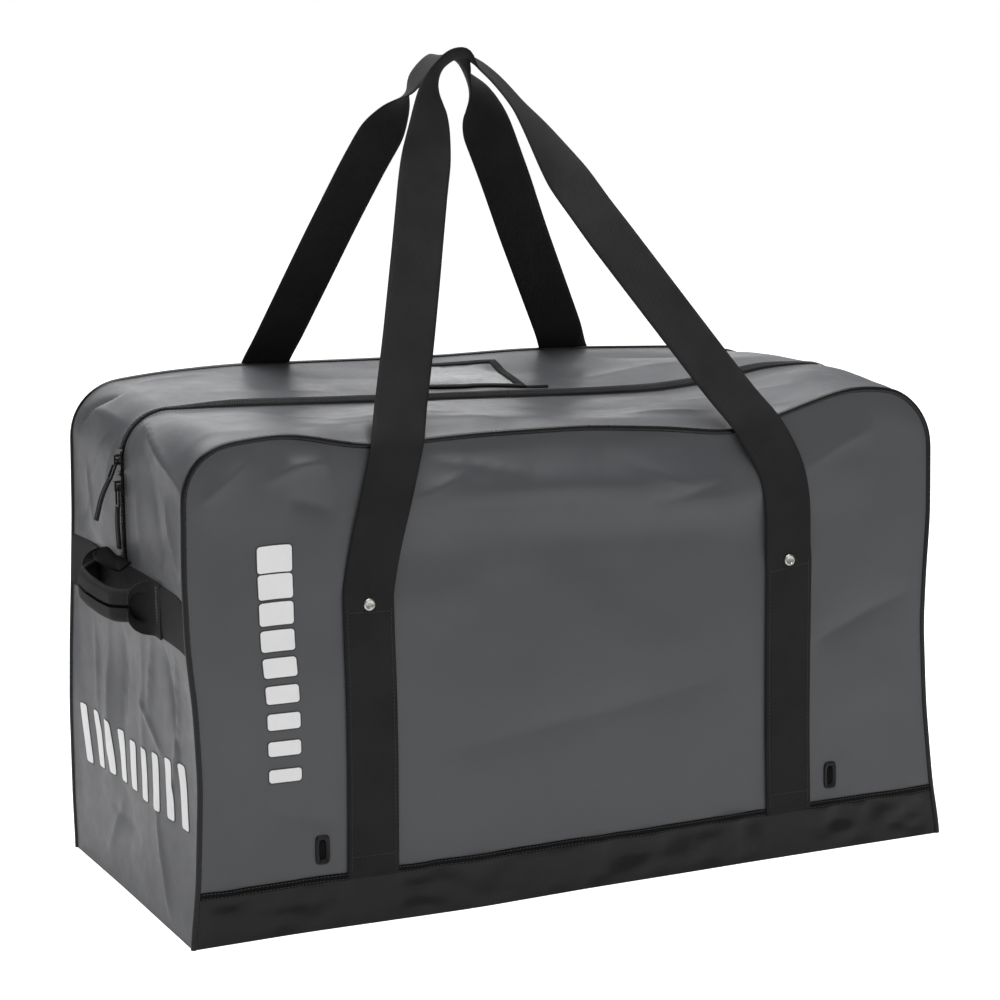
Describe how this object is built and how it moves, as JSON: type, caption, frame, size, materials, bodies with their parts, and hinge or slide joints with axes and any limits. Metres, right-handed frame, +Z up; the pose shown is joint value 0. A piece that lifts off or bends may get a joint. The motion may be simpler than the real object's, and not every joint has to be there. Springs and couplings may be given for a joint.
{
  "type": "hockey equipment bag",
  "caption": "Boxy soft equipment bag with a curved top, zipper down both ends, webbing carry loops riveted to the long sides and a folded grip on each end.",
  "frame": {"origin": "middle of the footprint, on the surface that the bag stands on", "axes": "+X along the bag, -Y out of the front with the vent eyelets, +Z up"},
  "size_m": [0.854, 0.337, 0.786],
  "materials": {
    "grey_tarpaulin": "satin",
    "black_tarpaulin": "satin",
    "black_webbing": "matte",
    "black_piping": "satin",
    "zipper": "satin",
    "nickel": "satin",
    "black_slider": "satin",
    "black_plastic": "satin",
    "clear_vinyl": "gloss",
    "card": "matte"
  },
  "bodies": {
    "bag": {"back_anchor_webbing": "black_webbing", "back_band": "black_tarpaulin", "back_band_hem": "black_webbing", "back_eyelet_washers": "black_plastic", "back_eyelets": "black_plastic", "back_panel": "grey_tarpaulin", "back_piping": "black_piping", "back_rivet_burrs": "nickel", "back_rivets": "nickel", "back_seam_binding": "black_webbing", "bottom_panel": "black_tarpaulin", "front_anchor_webbing": "black_webbing", "front_band": "black_tarpaulin", "front_band_hem": "black_webbing", "front_eyelet_washers": "black_plastic", "front_eyelets": "black_plastic", "front_panel": "grey_tarpaulin", "front_piping": "black_piping", "front_rivet_burrs": "nickel", "front_rivets": "nickel", "front_seam_binding": "black_webbing", "left_end_panel": "grey_tarpaulin", "left_end_webbing": "black_webbing", "left_front_gusset": "grey_tarpaulin", "left_front_zip": "zipper", "left_grip_feet": "black_webbing", "left_rear_gusset": "grey_tarpaulin", "left_rear_zip": "zipper", "left_zip_tab": "black_webbing", "right_end_panel": "grey_tarpaulin", "right_end_webbing": "black_webbing", "right_front_gusset": "grey_tarpaulin", "right_front_zip": "zipper", "right_grip_feet": "black_webbing", "right_rear_gusset": "grey_tarpaulin", "right_rear_zip": "zipper", "right_zip_tab": "black_webbing"},
    "front_flap": {"front_top_flap": "grey_tarpaulin", "front_top_zip": "zipper"},
    "rear_flap": {"rear_top_flap": "grey_tarpaulin", "rear_top_zip": "zipper", "window_binding": "black_webbing", "window_vinyl": "clear_vinyl", "name_card": "card"},
    "front_loop": {"front_handle": "black_webbing"},
    "back_loop": {"back_handle": "black_webbing"},
    "upper_slider": {"upper_slider": "black_slider"},
    "lower_slider": {"lower_slider": "black_slider"},
    "upper_pull": {"upper_pull_ring": "black_slider", "upper_pull_tab": "black_webbing"},
    "lower_pull": {"lower_pull_ring": "black_slider", "lower_pull_tab": "black_webbing"},
    "left_grip": {"left_grip": "black_webbing"},
    "right_grip": {"right_grip": "black_webbing"}
  },
  "joints": [
    {"name": "front_flap_lift", "type": "hinge", "parent": "bag", "child": "front_flap", "pos_m": [0, -0.158, 0.464], "axis": [1, 0, 0], "range_deg": [0, 50]},
    {"name": "rear_flap_lift", "type": "hinge", "parent": "bag", "child": "rear_flap", "pos_m": [0, 0.158, 0.464], "axis": [-1, 0, 0], "range_deg": [0, 50]},
    {"name": "front_loop_lower", "type": "hinge", "parent": "bag", "child": "front_loop", "pos_m": [0, -0.1665, 0.322], "axis": [1, 0, 0], "range_deg": [0, 140]},
    {"name": "back_loop_lower", "type": "hinge", "parent": "bag", "child": "back_loop", "pos_m": [0, 0.1665, 0.322], "axis": [-1, 0, 0], "range_deg": [0, 140]},
    {"name": "upper_slider_turn", "type": "hinge", "parent": "bag", "child": "upper_slider", "pos_m": [-0.349, 0, 0.418], "axis": [0, 1, 0], "range_deg": [0, 75]},
    {"name": "lower_slider_slide", "type": "slide", "parent": "bag", "child": "lower_slider", "axis": [0, 0, 1], "range_m": [-0.009, 0]},
    {"name": "upper_pull_swing", "type": "hinge", "parent": "upper_slider", "child": "upper_pull", "pos_m": [-0.40025, 0, 0.418], "axis": [0, 1, 0], "range_deg": [0, 110]},
    {"name": "lower_pull_swing", "type": "hinge", "parent": "lower_slider", "child": "lower_pull", "pos_m": [-0.40025, 0, 0.3935], "axis": [0, 1, 0], "range_deg": [0, 28]},
    {"name": "left_grip_lift", "type": "hinge", "parent": "bag", "child": "left_grip", "pos_m": [-0.3973, 0, 0.3085], "axis": [0, 1, 0], "range_deg": [0, 20]},
    {"name": "right_grip_lift", "type": "hinge", "parent": "bag", "child": "right_grip", "pos_m": [0.3973, 0, 0.3085], "axis": [0, -1, 0], "range_deg": [0, 20]}
  ]
}
